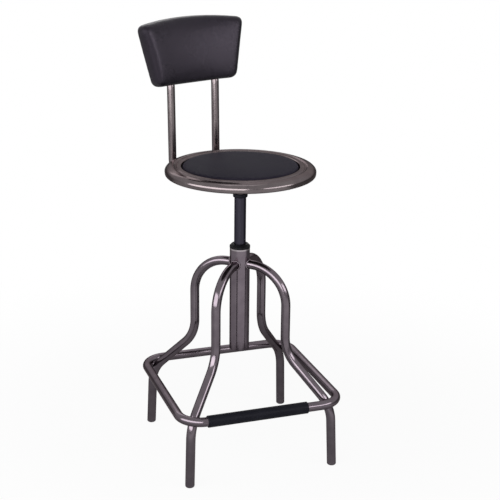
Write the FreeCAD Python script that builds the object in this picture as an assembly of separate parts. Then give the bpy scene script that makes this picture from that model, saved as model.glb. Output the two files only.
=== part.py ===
import FreeCAD
import Part
import math
import os
from FreeCAD import Vector

# Machinist stool on four bent tube legs, with a screw lift, a round padded seat and a small padded backrest.
# Millimetres. +Z is up, the sitter faces -Y, and the origin lies on the floor under the column axis.
# The seat turns on its screw, so the base stands turned under it by base_turn_deg, about the column axis.

# Turn of the base under the seat, and the legs' directions before it
base_turn_deg = -21.0
leg_directions_deg = {
    "leg_front_left": 225.0,
    "leg_rear_left": 135.0,
    "leg_rear_right": 45.0,
    "leg_front_right": 315.0,
}

# Legs and their feet
leg_od = 22.2
leg_wall = 1.6
leg_bend_radius = 90.0
leg_top_height = 478.0
leg_upper_reach = 123.3
leg_knee_height = 271.0
leg_spread_angle_deg = 46.0
leg_foot_reach = 253.7
leg_splay_deg = 2.8
foot_cap_height = 13.0
foot_cap_round = 4.0
foot_spigot_length = 18.0

# Footrest ring and its sleeve
ring_od = 22.2
ring_wall = 1.6
ring_height = 170.0
ring_corner_radius = 54.0
weld_gap = 0.3
weld_size = 7.0
weld_flare = 3.2
weld_length = 5.0
sleeve_od = 28.0
sleeve_length = 246.0
sleeve_shift = -18.0
sleeve_chamfer = 0.8

# Column, its foot plate and the guide bush in its mouth
column_od = 48.3
column_wall = 2.1
column_bottom = 258.0
column_top = 517.0
foot_plate_recess = 12.0
foot_plate_thick = 6.0
bush_rim_height = 10.0
bush_rim_overhang = 0.5
bush_depth = 45.0
bush_chamfer = 5.0
running_clearance = 0.10
edge_break = 0.8

# Lift screw, its fixings and its end stop
screw_od = 19.0
screw_spigot_od = 14.0
screw_end_reach = 1.5
screw_nut_across_flats = 22.0
screw_nut_height = 7.0
screw_washer_od = 28.0
washer_thick = 1.6
stop_washer_od = 22.0
stop_washer_thick = 3.0
stop_bolt_head_across_flats = 13.0
stop_bolt_head_height = 5.5
stop_bolt_od = 8.0
stop_bolt_depth = 20.0
lift_raise = 80.0
lift_lower = 95.0
stop_gap = 0.5

# Seat post with its nut, guide ring, collar and hub
post_od = 28.0
post_wall = 2.5
nut_flange_height = 12.0
nut_spigot_height = 20.0
guide_ring_height = 10.0
guide_ring_clearance = 0.3
guide_ring_bore_clearance = 1.0
guide_ring_floor_gap = 1.0
collar_od = 35.0
collar_height = 10.0
collar_round = 3.0
hub_bottom_od = 32.0
hub_neck_height = 14.5
hub_flange_od = 78.0
hub_flange_thick = 4.0
hub_flare_radius = 21.0

# Seat pan, pressed from sheet with a rolled rim
seat_od = 356.0
seat_top_height = 719.0
pan_sheet = 1.5
pad_od = 275.0
pad_side_gap = 0.75
pan_depth = 22.0
pan_ledge_width = 11.5
pan_groove_depth = 3.0
pan_groove_width = 4.5
pan_floor_bend = 1.6
pan_mouth_bend = 3.0
pan_ledge_bend = 2.5
pan_groove_bend = 1.9
rim_height = 22.0
rim_hem_width = 11.0
rim_inner_rise = 0.4
rim_inner_bend = 6.5
rim_top_width = 7.5
rim_top_fall = 2.2
rim_top_bend = 12.0
rim_side_drop = 9.2
rim_side_bend = 10.0
rim_draft = 1.2
rim_hem_bend = 5.0

# Seat cushion
cover_sheet = 1.2
seat_board_thick = 12.0
pad_rise = 2.0
pad_edge_round = 6.0
pad_foot_round = 3.0
pad_crown = 6.0
board_inset = 1.5

# Plate under the seat, its bolts and the straps of the back tubes
plate_thick = 4.0
plate_width = 184.0
plate_front = -62.0
plate_rear = 98.0
plate_corner = 12.0
bolt_od = 6.0
bolt_spacing = 90.0
bolt_head_across_flats = 10.0
bolt_head_height = 4.0
bolt_washer_od = 14.0
bolt_reach_into_board = 9.0
insert_od = 9.5
bolt_hole_clearance = 0.3

# Back tubes
back_tube_od = 19.0
back_tube_wall = 1.5
back_tube_spacing = 133.0
back_tube_front = 15.0
back_tube_bend_radius = 27.0
back_tube_rim_gap = 2.0
back_tube_lean_deg = 1.2
back_bend_height = 884.0
back_upper_bend_radius = 90.0
back_lean_deg = 9.2
back_tube_in_pad = 104.0
plug_flange = 2.0
plug_round = 1.2
plug_depth = 12.0
strap_sheet = 2.0
strap_width = 16.0
strap_flange = 12.0
strap_places = (24.0, 78.0)
strap_screw_od = 5.0
strap_screw_head_od = 9.0
strap_screw_head_height = 2.8
strap_screw_head_round = 1.7

# Backrest pad, board and screws
back_curve_radius = 750.0
back_pad_thick = 40.0
back_top_width = 305.0
back_bottom_width = 240.0
back_centre_height = 159.5
back_corner_height = 144.5
back_pad_bottom = 3.0
back_corner_round = 17.0
back_edge_round = 14.0
back_rim_round = 1.0
back_front_crown = 5.0
back_side_crown = 2.5
back_section_places = (-1.0, -0.5, 0.0, 0.5, 1.0)
back_roll_steps_deg = (0, 25, 50, 70, 84)
back_tube_cover = 2.6
back_board_thick = 8.0
back_board_margin = 16.0
back_screw_od = 5.0
back_screw_head_od = 10.0
back_screw_head_height = 1.8
back_screw_places = (42.0, 88.0)
back_screw_end_gap = 1.0
touch_clearance = 0.1

# Sizes worked out from the ones above
column_bore_radius = column_od / 2 - column_wall
foot_plate_bottom = column_bottom + foot_plate_recess
foot_plate_top = foot_plate_bottom + foot_plate_thick
guide_ring_bottom = foot_plate_top + guide_ring_floor_gap + lift_lower
nut_bottom = guide_ring_bottom + guide_ring_height
post_bottom = nut_bottom + nut_flange_height
nut_top = post_bottom + nut_spigot_height
post_bore_radius = post_od / 2 - post_wall
screw_top = nut_top + lift_raise + stop_gap
pan_floor_top = seat_top_height - pan_depth
pan_floor_bottom = pan_floor_top - pan_sheet
plate_bottom = pan_floor_bottom - plate_thick
pan_recess_radius = pad_od / 2 + pad_side_gap
back_tube_run_height = plate_bottom - back_tube_od / 2
back_tube_x = back_tube_spacing / 2
back_tube_rear = math.sqrt((seat_od / 2) ** 2 - back_tube_x ** 2) + back_tube_rim_gap + back_tube_od / 2


def cylinder(radius, low, high, x=0.0, y=0.0):
    """Upright cylinder between two heights."""
    return Part.makeCylinder(radius, high - low, Vector(x, y, low))


def tube(outer, inner, low, high):
    """Upright tube about the column axis."""
    return cylinder(outer, low, high).cut(cylinder(inner, low, high))


def hexagon(across_flats, low, high, x=0.0, y=0.0):
    """Upright hexagonal prism."""
    corner = across_flats / math.sqrt(3.0)
    points = [
        Vector(x + corner * math.cos(math.radians(60 * k)), y + corner * math.sin(math.radians(60 * k)), low)
        for k in range(6)
    ]
    face = Part.Face(Part.makePolygon(points + points[:1]))
    return face.extrude(Vector(0, 0, high - low))


def rounded_edges(points, radii, closed=False):
    """Straight runs between the points, joined at each inner point by a tangent arc of the given radius."""
    count = len(points)
    starts = []
    ends = []
    arcs = []
    for k, point in enumerate(points):
        radius = radii[k]
        inner = closed or 0 < k < count - 1
        if not inner or radius <= 0:
            starts.append(point)
            ends.append(point)
            arcs.append(None)
            continue
        back = (points[k - 1] - point).normalize()
        ahead = (points[(k + 1) % count] - point).normalize()
        half = back.getAngle(ahead) / 2
        reach = radius / math.tan(half)
        middle = (back + ahead).normalize()
        centre = point + middle * (radius / math.sin(half))
        starts.append(point + back * reach)
        ends.append(point + ahead * reach)
        arcs.append(Part.Arc(starts[-1], centre - middle * radius, ends[-1]).toShape())
    edges = []
    for k in range(count if closed else count - 1):
        following = (k + 1) % count
        if arcs[k]:
            edges.append(arcs[k])
        if (starts[following] - ends[k]).Length > 1e-6:
            edges.append(Part.makeLine(ends[k], starts[following]))
    return edges


def bar_along(points, radii, radius):
    """Round bar along a bent route."""
    wire = Part.Wire(rounded_edges(points, radii))
    direction = points[1] - points[0]
    section = Part.Wire(Part.makeCircle(radius, points[0], direction))
    return wire.makePipeShell([section], True, True)


def revolved(points, radii):
    """Solid of revolution about the column axis from a closed outline of (radius, height) points."""
    outline = [Vector(r, 0, z) for r, z in points]
    face = Part.Face(Part.Wire(rounded_edges(outline, radii, closed=True)))
    return face.revolve(Vector(0, 0, 0), Vector(0, 0, 1), 360)


def offset_corner(before, point, after, distance):
    """Corner of the same polyline shifted sideways by a distance, to the left of its run."""
    first = (point - before).normalize() if before else (after - point).normalize()
    second = (after - point).normalize() if after else first
    left_one = Vector(-first.z, 0, first.x)
    left_two = Vector(-second.z, 0, second.x)
    bisector = (left_one + left_two).normalize()
    return point + bisector * (distance / bisector.dot(left_one))


def sheet_revolved(points, radii, thickness):
    """Turned sheet-metal shape: the outer skin is the given line and the metal lies to the left of it."""
    outer = [Vector(r, 0, z) for r, z in points]
    inner = []
    inner_radii = []
    for k, point in enumerate(outer):
        before = outer[k - 1] if k > 0 else None
        after = outer[k + 1] if k < len(outer) - 1 else None
        inner.append(offset_corner(before, point, after, thickness))
        turn = 0.0
        if before and after:
            one = point - before
            two = after - point
            turn = one.x * two.z - one.z * two.x
        inner_radii.append(radii[k] - thickness if turn > 0 else radii[k] + thickness)
    outer_edges = rounded_edges(outer, radii)
    inner_edges = rounded_edges(inner, inner_radii)
    ends = [Part.makeLine(outer[0], inner[0]), Part.makeLine(outer[-1], inner[-1])]
    wire = Part.Wire(Part.__sortEdges__(outer_edges + inner_edges + ends))
    return Part.Face(wire).revolve(Vector(0, 0, 0), Vector(0, 0, 1), 360)


def turned(shape, angle_deg):
    """Copy of a shape turned about the column axis."""
    copy = shape.copy()
    copy.rotate(Vector(0, 0, 0), Vector(0, 0, 1), angle_deg)
    return copy


def group(shapes):
    """Several separate solids kept as one piece list."""
    return Part.Compound([solid for shape in shapes for solid in shape.Solids])


def moved(shape, x, y):
    """Copy of a shape drawn on the column axis, moved sideways."""
    copy = shape.copy()
    copy.translate(Vector(x, y, 0))
    return copy


def leg_corner_points():
    """Corners of a leg's centre line in its own upright plane, from the column to the floor."""
    spread = math.tan(math.radians(leg_spread_angle_deg))
    splay = math.tan(math.radians(leg_splay_deg))
    ankle_height = (leg_foot_reach - leg_upper_reach - spread * leg_knee_height) / (splay - spread)
    ankle_reach = leg_foot_reach - splay * ankle_height
    return [
        Vector(0, 0, leg_top_height),
        Vector(leg_upper_reach, 0, leg_top_height),
        Vector(leg_upper_reach, 0, leg_knee_height),
        Vector(ankle_reach, 0, ankle_height),
        Vector(leg_foot_reach, 0, 0),
    ]


def ankle_bend_centre():
    """Centre of a leg's lowest bend, in the leg's own upright plane."""
    splay = math.radians(leg_splay_deg)
    spread = math.radians(leg_spread_angle_deg)
    along = Vector(math.sin(splay), 0, -math.cos(splay))
    inward = Vector(-math.cos(splay), 0, -math.sin(splay))
    end_of_bend = leg_corner_points()[3] + along * (leg_bend_radius * math.tan((spread - splay) / 2))
    return end_of_bend + inward * leg_bend_radius


def ring_corner_reach():
    """Distance of the ring's corner from the axis, on the diagonal, at which the ring touches the legs."""
    centre = ankle_bend_centre()
    span = leg_bend_radius + leg_od / 2 + ring_od / 2 + weld_gap
    drop = ring_height - centre.z
    return centre.x + math.sqrt(span ** 2 - drop ** 2)


def ring_weld_point():
    """Point on a leg's plane where leg and ring touch."""
    centre = ankle_bend_centre()
    ring = Vector(ring_corner_reach(), 0, ring_height)
    return centre + (ring - centre).normalize() * (leg_bend_radius + leg_od / 2 + weld_gap / 2)


ring_half = (ring_corner_reach() - ring_corner_radius) / math.sqrt(2.0) + ring_corner_radius


def leg_bar(radius):
    """Full round bar along a leg's centre line."""
    points = leg_corner_points()
    radii = [0, leg_bend_radius, leg_bend_radius, leg_bend_radius, 0]
    return bar_along(points, radii, radius)


def leg_shape():
    """One leg tube, coped against the column and cut off above its foot cap."""
    leg = leg_bar(leg_od / 2).cut(leg_bar(leg_od / 2 - leg_wall))
    leg = leg.cut(cylinder(column_od / 2, leg_top_height - leg_od, leg_top_height + leg_od))
    floor_block = Part.makeBox(4 * leg_od, 4 * leg_od, foot_cap_height + leg_od)
    floor_block.translate(Vector(leg_foot_reach - 2 * leg_od, -2 * leg_od, -leg_od))
    return leg.cut(floor_block)


def foot_cap_shape():
    """Domed cap in the end of a leg, standing flat on the floor."""
    outer = leg_od / 2
    spigot = leg_od / 2 - leg_wall
    top = foot_cap_height
    low = -leg_od / 2
    cap = cylinder(outer, low, top + outer)
    cap = cap.cut(Part.makeBox(4 * outer, 4 * outer, 4 * outer, Vector(-2 * outer, -2 * outer, top + outer)))
    plug = cylinder(spigot, low, top + foot_spigot_length)
    for shape in (cap, plug):
        shape.rotate(Vector(0, 0, 0), Vector(0, 1, 0), -leg_splay_deg)
        shape.translate(Vector(leg_foot_reach, 0, 0))
    slab = Part.makeBox(8 * outer, 8 * outer, top, Vector(leg_foot_reach - 4 * outer, -4 * outer, 0))
    body = cap.common(slab)
    rim = [edge for edge in body.Edges if edge.BoundBox.ZMax < 0.001]
    body = body.makeFillet(foot_cap_round, rim)
    corner = Vector(leg_foot_reach - 4 * outer, -4 * outer, top)
    above = Part.makeBox(8 * outer, 8 * outer, 8 * outer, corner)
    return body.fuse(plug.common(above)).removeSplitter()


def column_weld_shape():
    """Weld bead round the end of a leg at the column wall."""
    start = column_od / 2 - weld_length
    bead = Part.makeCone(
        leg_od / 2 + weld_flare,
        leg_od / 2 - touch_clearance,
        2 * weld_length,
        Vector(start, 0, leg_top_height),
        Vector(1, 0, 0),
    )
    bead = bead.cut(cylinder(column_od / 2, leg_top_height - 2 * leg_od, leg_top_height + 2 * leg_od))
    bead = bead.cut(Part.makeCylinder(leg_od / 2, 4 * leg_od, Vector(0, 0, leg_top_height), Vector(1, 0, 0)))
    return max(bead.Solids, key=lambda solid: solid.Volume)


def ring_bar(radius):
    """Full round bar along the footrest ring's closed centre line."""
    half = ring_half
    corners = [(-half, -half), (half, -half), (half, half), (-half, half)]
    points = [Vector(x, y, ring_height) for x, y in corners]
    edges = rounded_edges(points, [ring_corner_radius] * 4, closed=True)
    pieces = []
    for edge in edges:
        start = edge.valueAt(edge.FirstParameter)
        tangent = edge.tangentAt(edge.FirstParameter)
        section = Part.Wire(Part.makeCircle(radius, start, tangent))
        pieces.append(Part.Wire([edge]).makePipeShell([section], True, True))
    return pieces[0].multiFuse(pieces[1:])


def ring_shape():
    """Footrest ring, one tube bent to a rounded square."""
    return ring_bar(ring_od / 2).cut(ring_bar(ring_od / 2 - ring_wall))


def ring_weld_shape(leg_solid, ring_solid):
    """Weld bead in the nook between a leg and the ring."""
    bead = Part.makeSphere(weld_size, ring_weld_point())
    bead = bead.cut(leg_solid).cut(ring_solid)
    return bead


def sleeve_shape():
    """Grip sleeve on the front bar of the ring."""
    low = Vector(sleeve_shift - sleeve_length / 2, -ring_half, ring_height)
    outer = Part.makeCylinder(sleeve_od / 2, sleeve_length, low, Vector(1, 0, 0))
    bore = Part.makeCylinder(ring_od / 2, sleeve_length, low, Vector(1, 0, 0))
    ends = [edge for edge in outer.Edges if edge.Curve.TypeId == "Part::GeomCircle"]
    return outer.makeChamfer(sleeve_chamfer, ends).cut(bore)


def column_shape():
    """Centre column tube."""
    return tube(column_od / 2, column_bore_radius, column_bottom, column_top)


def column_foot_plate_shape():
    """Disc welded inside the lower end of the column, which carries the lift screw."""
    disc = cylinder(column_bore_radius, foot_plate_bottom, foot_plate_top)
    return disc.cut(cylinder(screw_spigot_od / 2, foot_plate_bottom, foot_plate_top))


def guide_bush_shape():
    """Plastic bush in the mouth of the column, with a rim on top of it."""
    bore = post_od / 2 + running_clearance
    rim = column_od / 2 + bush_rim_overhang
    top = column_top + bush_rim_height
    points = [
        (bore, column_top - bush_depth),
        (column_bore_radius, column_top - bush_depth),
        (column_bore_radius, column_top),
        (rim, column_top),
        (rim, top - bush_chamfer),
        (rim - bush_chamfer, top),
        (bore, top),
    ]
    return revolved(points, [0, edge_break, 0, edge_break, edge_break, edge_break, edge_break])


def lift_screw_shape():
    """Fixed lift screw standing on the foot plate."""
    low = foot_plate_bottom - washer_thick - screw_nut_height - screw_end_reach
    screw = cylinder(screw_od / 2, foot_plate_top, screw_top)
    screw = screw.fuse(cylinder(screw_spigot_od / 2, low, foot_plate_top)).removeSplitter()
    return screw.cut(cylinder(stop_bolt_od / 2, screw_top - stop_bolt_depth, screw_top))


def screw_washer_shape():
    """Washer under the foot plate."""
    low = foot_plate_bottom - washer_thick
    return tube(screw_washer_od / 2, screw_spigot_od / 2, low, foot_plate_bottom)


def screw_nut_shape():
    """Lock nut that holds the lift screw to the foot plate."""
    top = foot_plate_bottom - washer_thick
    nut = hexagon(screw_nut_across_flats, top - screw_nut_height, top)
    return nut.cut(cylinder(screw_spigot_od / 2, top - screw_nut_height, top))


def stop_washer_shape():
    """Washer on top of the screw that the lift nut meets at full height."""
    return tube(stop_washer_od / 2, stop_bolt_od / 2, screw_top, screw_top + stop_washer_thick)


def stop_bolt_shape():
    """Bolt that holds the stop washer."""
    top = screw_top + stop_washer_thick
    bolt = hexagon(stop_bolt_head_across_flats, top, top + stop_bolt_head_height)
    return bolt.fuse(cylinder(stop_bolt_od / 2, screw_top - stop_bolt_depth, top)).removeSplitter()


def guide_ring_shape():
    """Plastic ring under the lift nut that slides in the column and doesn't turn."""
    outer = column_bore_radius - guide_ring_clearance
    inner = screw_od / 2 + guide_ring_bore_clearance
    low = guide_ring_bottom
    high = nut_bottom
    points = [(inner, low), (outer, low), (outer, high), (inner, high)]
    return revolved(points, [0, edge_break, edge_break, 0])


def lift_nut_shape():
    """Lift nut with a flange as wide as the post and a spigot pressed into it."""
    flange = cylinder(post_od / 2, nut_bottom, post_bottom)
    nut = flange.fuse(cylinder(post_bore_radius, post_bottom, nut_top)).removeSplitter()
    return nut.cut(cylinder(screw_od / 2 + running_clearance, nut_bottom, nut_top))


def seat_post_shape():
    """Smooth post tube between the lift nut and the seat plate."""
    return tube(post_od / 2, post_bore_radius, post_bottom, plate_bottom)


def hub_bottom():
    """Height of the lower end of the hub."""
    return plate_bottom - hub_flange_thick - hub_flare_radius - hub_neck_height


def seat_hub_shape():
    """Flared hub round the top of the post."""
    bore = post_od / 2
    neck = hub_bottom_od / 2
    flange = hub_flange_od / 2
    low = hub_bottom()
    shoulder = plate_bottom - hub_flange_thick
    points = [
        (bore, low),
        (neck, low),
        (neck, shoulder),
        (flange, shoulder),
        (flange, plate_bottom),
        (bore, plate_bottom),
    ]
    return revolved(points, [0, edge_break, hub_flare_radius, edge_break, edge_break, 0])


def post_collar_shape():
    """Soft collar under the hub."""
    low = hub_bottom() - collar_height
    points = [
        (post_od / 2, low),
        (collar_od / 2, low),
        (collar_od / 2, hub_bottom()),
        (post_od / 2, hub_bottom()),
    ]
    return revolved(points, [0, collar_round, collar_round, 0])


def bolt_places():
    """Centres of the four seat bolts."""
    half = bolt_spacing / 2
    return [(x, y) for x in (-half, half) for y in (-half, half)]


def strap_screw_places():
    """Centres of the screws of the back tube straps."""
    reach = back_tube_od / 2 + strap_sheet + strap_flange / 2
    across = [side * back_tube_x + end * reach for side in (-1, 1) for end in (-1, 1)]
    return [(x, y) for x in across for y in strap_places]


def seat_plate_shape():
    """Steel plate under the seat pan that carries the hub and the back tubes."""
    half = plate_width / 2
    corners = [(-half, plate_front), (half, plate_front), (half, plate_rear), (-half, plate_rear)]
    points = [Vector(x, y, plate_bottom) for x, y in corners]
    face = Part.Face(Part.Wire(rounded_edges(points, [plate_corner] * 4, closed=True)))
    plate = face.extrude(Vector(0, 0, plate_thick))
    for x, y in bolt_places():
        plate = plate.cut(cylinder(bolt_od / 2 + bolt_hole_clearance, plate_bottom, pan_floor_bottom, x, y))
    for x, y in strap_screw_places():
        plate = plate.cut(cylinder(strap_screw_od / 2, plate_bottom, pan_floor_bottom, x, y))
    return plate


def seat_pan_shape():
    """Round seat pan pressed from sheet: recessed floor, flat ledge, groove and rolled rim."""
    wall = pan_recess_radius
    ledge = wall + pan_ledge_width
    groove = ledge + pan_groove_width / 2
    rise = groove + pan_groove_width
    rim = seat_od / 2
    low = seat_top_height - rim_height
    top = seat_top_height
    points = [
        (0, pan_floor_top),
        (wall, pan_floor_top),
        (wall, top),
        (ledge, top),
        (groove, top - pan_groove_depth),
        (rise, top + rim_inner_rise),
        (rim - rim_top_width, top - rim_top_fall),
        (rim, top - rim_side_drop),
        (rim - rim_draft, low),
        (rim - rim_hem_width, low),
    ]
    radii = [
        0,
        pan_floor_bend,
        pan_mouth_bend,
        pan_ledge_bend,
        pan_groove_bend,
        rim_inner_bend,
        rim_top_bend,
        rim_side_bend,
        rim_hem_bend,
        0,
    ]
    pan = sheet_revolved(points, radii, -pan_sheet)
    for x, y in bolt_places():
        pan = pan.cut(cylinder(bolt_od / 2 + bolt_hole_clearance, pan_floor_bottom, pan_floor_top, x, y))
    return pan


def cushion_outline(shrink):
    """Closed outline of the seat cushion, all sides drawn in by the given amount."""
    radius = pad_od / 2 - shrink
    low = pan_floor_top + shrink
    shoulder = seat_top_height + pad_rise - shrink
    top = shoulder + pad_crown
    crown_radius = (radius ** 2 + pad_crown ** 2) / (2 * pad_crown)
    middle_reach = radius / 2
    middle = Vector(middle_reach, 0, top - crown_radius + math.sqrt(crown_radius ** 2 - middle_reach ** 2))
    crown = Part.Arc(Vector(0, 0, top), middle, Vector(radius, 0, shoulder)).toShape()
    side = Part.makeLine(Vector(radius, 0, shoulder), Vector(radius, 0, low))
    floor = Part.makeLine(Vector(radius, 0, low), Vector(0, 0, low))
    axis = Part.makeLine(Vector(0, 0, low), Vector(0, 0, top))
    face = Part.Face(Part.Wire([crown, side, floor, axis]))
    body = face.revolve(Vector(0, 0, 0), Vector(0, 0, 1), 360)
    for height, round_radius in ((shoulder, pad_edge_round), (low, pad_foot_round)):
        circles = [edge for edge in body.Edges if edge.BoundBox.XLength > radius]
        rim = [edge for edge in circles if abs(edge.BoundBox.ZMax - height) < 0.01]
        body = body.makeFillet(round_radius - shrink, rim)
    return body


def seat_board_solid():
    """Plywood disc under the foam, before its holes."""
    return cylinder(pad_od / 2 - cover_sheet - board_inset, pan_floor_top + cover_sheet,
                    pan_floor_top + cover_sheet + seat_board_thick)


def insert_low():
    """Height of the underside of the threaded inserts."""
    return pan_floor_top + cover_sheet


def seat_board_shape():
    """Plywood disc that stiffens the cushion, bored for the inserts."""
    board = seat_board_solid()
    for x, y in bolt_places():
        board = board.cut(cylinder(insert_od / 2, insert_low(), insert_low() + bolt_reach_into_board, x, y))
    return board


def board_insert_shape():
    """Threaded insert on the axis, moved to each bolt later."""
    low = insert_low()
    return tube(insert_od / 2, bolt_od / 2, low, low + bolt_reach_into_board)


def seat_foam_shape():
    """Foam between the board and the cover."""
    return cushion_outline(cover_sheet).cut(seat_board_solid())


def seat_cover_shape():
    """Vinyl cover round the foam and under the edge of the board."""
    cover = cushion_outline(0.0).cut(cushion_outline(cover_sheet))
    for x, y in bolt_places():
        cover = cover.cut(cylinder(insert_od / 2, pan_floor_top, insert_low(), x, y))
    return cover


def seat_bolt_shape():
    """Hexagon bolt from under the plate into an insert."""
    washer_low = plate_bottom - washer_thick
    head = hexagon(bolt_head_across_flats, washer_low - bolt_head_height, washer_low)
    shank_top = insert_low() + bolt_reach_into_board
    return head.fuse(cylinder(bolt_od / 2, washer_low, shank_top)).removeSplitter()


def bolt_washer_shape():
    """Washer under a seat bolt."""
    return tube(bolt_washer_od / 2, bolt_od / 2, plate_bottom - washer_thick, plate_bottom)


def back_bend_point():
    """Point where a back tube's centre line tips back into the pad."""
    rise = back_bend_height - back_tube_run_height
    return Vector(0, back_tube_rear + rise * math.tan(math.radians(back_tube_lean_deg)), back_bend_height)


def back_tube_points(side):
    """Corners of a back tube's centre line, from under the seat to its top end in the pad."""
    lean = math.radians(back_lean_deg)
    bend = back_bend_point()
    x = side * back_tube_x
    tip = bend + Vector(0, math.sin(lean), math.cos(lean)) * back_tube_in_pad
    return [
        Vector(x, back_tube_front, back_tube_run_height),
        Vector(x, back_tube_rear, back_tube_run_height),
        Vector(x, bend.y, bend.z),
        Vector(x, tip.y, tip.z),
    ]


def back_bar(side, radius):
    """Full round bar along a back tube's centre line."""
    radii = [0, back_tube_bend_radius, back_upper_bend_radius, 0]
    return bar_along(back_tube_points(side), radii, radius)


def back_tube_shape(side):
    """One back tube, bent forward under the seat and drilled for the backrest screws."""
    shape = back_bar(side, back_tube_od / 2).cut(back_bar(side, back_tube_od / 2 - back_tube_wall))
    for place in back_screw_places:
        shape = shape.cut(back_placed(back_screw_shank(side * back_tube_x, place)))
    return shape


def tube_plug_shapes(side):
    """Plastic plugs in the two ends of a back tube."""
    points = back_tube_points(side)
    plugs = []
    for end, inward in ((points[0], points[1]), (points[3], points[2])):
        direction = (inward - end).normalize()
        flange = Part.makeCylinder(back_tube_od / 2, plug_flange, end - direction * plug_flange, direction)
        rim = [edge for edge in flange.Edges if edge.Curve.TypeId == "Part::GeomCircle"]
        outer = max(rim, key=lambda edge: (edge.Curve.Center - inward).Length)
        flange = flange.makeFillet(plug_round, [outer])
        stem = Part.makeCylinder(back_tube_od / 2 - back_tube_wall, plug_depth, end, direction)
        plugs.append(flange.fuse(stem).removeSplitter())
    return plugs


def strap_shape(side, y):
    """Pressed strap that holds a back tube up against the plate."""
    centre = Vector(side * back_tube_x, y - strap_width / 2, back_tube_run_height)
    inner = back_tube_od / 2
    outer = inner + strap_sheet
    wing = outer + strap_flange
    top = plate_bottom - back_tube_run_height

    def spot(x, z):
        return centre + Vector(x, 0, z)

    edges = [
        Part.Arc(spot(-outer, 0), spot(0, -outer), spot(outer, 0)).toShape(),
        Part.Arc(spot(-inner, 0), spot(0, -inner), spot(inner, 0)).toShape(),
    ]
    for end in (-1, 1):
        under = top - strap_sheet
        corners = [(outer, 0), (outer, under), (wing, under), (wing, top), (inner, top), (inner, 0)]
        points = [spot(end * x, z) for x, z in corners]
        edges += [Part.makeLine(points[k], points[k + 1]) for k in range(len(points) - 1)]
    face = Part.Face(Part.Wire(Part.__sortEdges__(edges)))
    strap = face.extrude(Vector(0, strap_width, 0))
    for place in strap_screw_places():
        if abs(place[0] - centre.x) < wing and place[1] == y:
            strap = strap.cut(cylinder(strap_screw_od / 2, plate_bottom - strap_sheet, plate_bottom, *place))
    return strap


def strap_screw_shape():
    """Round headed screw of a strap, drawn on the axis."""
    under = plate_bottom - strap_sheet
    head = cylinder(strap_screw_head_od / 2, under - strap_screw_head_height, under)
    low_edge = [edge for edge in head.Edges if edge.BoundBox.ZMax < under - strap_screw_head_height + 0.001]
    head = head.makeFillet(strap_screw_head_round, low_edge)
    shank = cylinder(strap_screw_od / 2, under, pan_floor_bottom - touch_clearance)
    return head.fuse(shank).removeSplitter()


# The backrest is drawn upright in a local frame whose origin lies between the tubes at their upper bend.
tube_rear_radius = back_curve_radius + back_pad_thick / 2 - cover_sheet - back_tube_cover
tube_circle_radius = tube_rear_radius - back_tube_od / 2
curve_axis_y = -math.sqrt(tube_circle_radius ** 2 - back_tube_x ** 2)
board_rear_radius = tube_circle_radius - back_tube_od / 2 - touch_clearance


def back_placed(shape):
    """Copy of a backrest piece, leaned back and set on the tubes."""
    copy = shape.copy()
    copy.rotate(Vector(0, 0, 0), Vector(1, 0, 0), -back_lean_deg)
    copy.translate(back_bend_point())
    return copy


def back_screw_shank(x, z):
    """Shank of a backrest screw, from the rear of the tube to near the front of the board."""
    length = back_tube_od + back_board_thick - back_screw_end_gap
    return Part.makeCylinder(back_screw_od / 2, length, Vector(x, back_tube_od / 2, z), Vector(0, -1, 0))


def back_screw_shape(x, z):
    """Backrest screw with a flat round head on the rear of the tube."""
    rear = back_tube_od / 2
    place = Vector(x, rear, z)
    head = Part.makeCylinder(back_screw_head_od / 2, back_screw_head_height, place, Vector(0, 1, 0))
    return head.fuse(back_screw_shank(x, z)).removeSplitter()


def back_outline_prism(inset):
    """Upright prism with the backrest's outline: narrow below, arched above, round corners."""
    low = back_pad_bottom + inset
    taper = (back_top_width - back_bottom_width) / 2 / back_corner_height
    bottom = back_bottom_width / 2 - inset + taper * inset
    corner = back_corner_height - inset
    top = back_bottom_width / 2 + taper * (corner - back_pad_bottom) - inset
    peak = back_centre_height - inset
    radius = back_corner_round - inset
    depth = 4 * back_pad_thick
    start = -2 * back_pad_thick
    lower = [Vector(-bottom, start, low), Vector(bottom, start, low)]
    right = Vector(top, start, corner)
    left = Vector(-top, start, corner)
    sides = [
        Part.makeLine(lower[0], lower[1]),
        Part.makeLine(lower[1], right),
        Part.Arc(right, Vector(0, start, peak), left).toShape(),
        Part.makeLine(left, lower[0]),
    ]
    prism = Part.Face(Part.Wire(sides)).extrude(Vector(0, depth, 0))
    corners = [edge for edge in prism.Edges if abs(edge.BoundBox.YLength - depth) < 0.01]
    return prism.makeFillet(radius, corners)


def curved_slab(front_radius, rear_radius):
    """Curved slab about the backrest's upright curve axis."""
    low = -back_pad_thick
    high = back_centre_height + back_pad_thick
    corners = [(front_radius, low), (front_radius, high), (rear_radius, high), (rear_radius, low)]
    points = [Vector(radius, 0, height) for radius, height in corners]
    face = Part.Face(Part.makePolygon(points + points[:1]))
    sweep_deg = math.degrees(back_top_width / back_curve_radius)
    slab = face.revolve(Vector(0, 0, 0), Vector(0, 0, 1), sweep_deg)
    slab.rotate(Vector(0, 0, 0), Vector(0, 0, 1), 90 - sweep_deg / 2)
    slab.translate(Vector(0, curve_axis_y, 0))
    return slab


def on_curve(across, depth, height):
    """Point of the backrest: its distance along the curve, depth behind mid thickness and height."""
    angle = across / back_curve_radius
    radius = back_curve_radius + depth
    return Vector(radius * math.sin(angle), curve_axis_y + radius * math.cos(angle), height)


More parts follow.
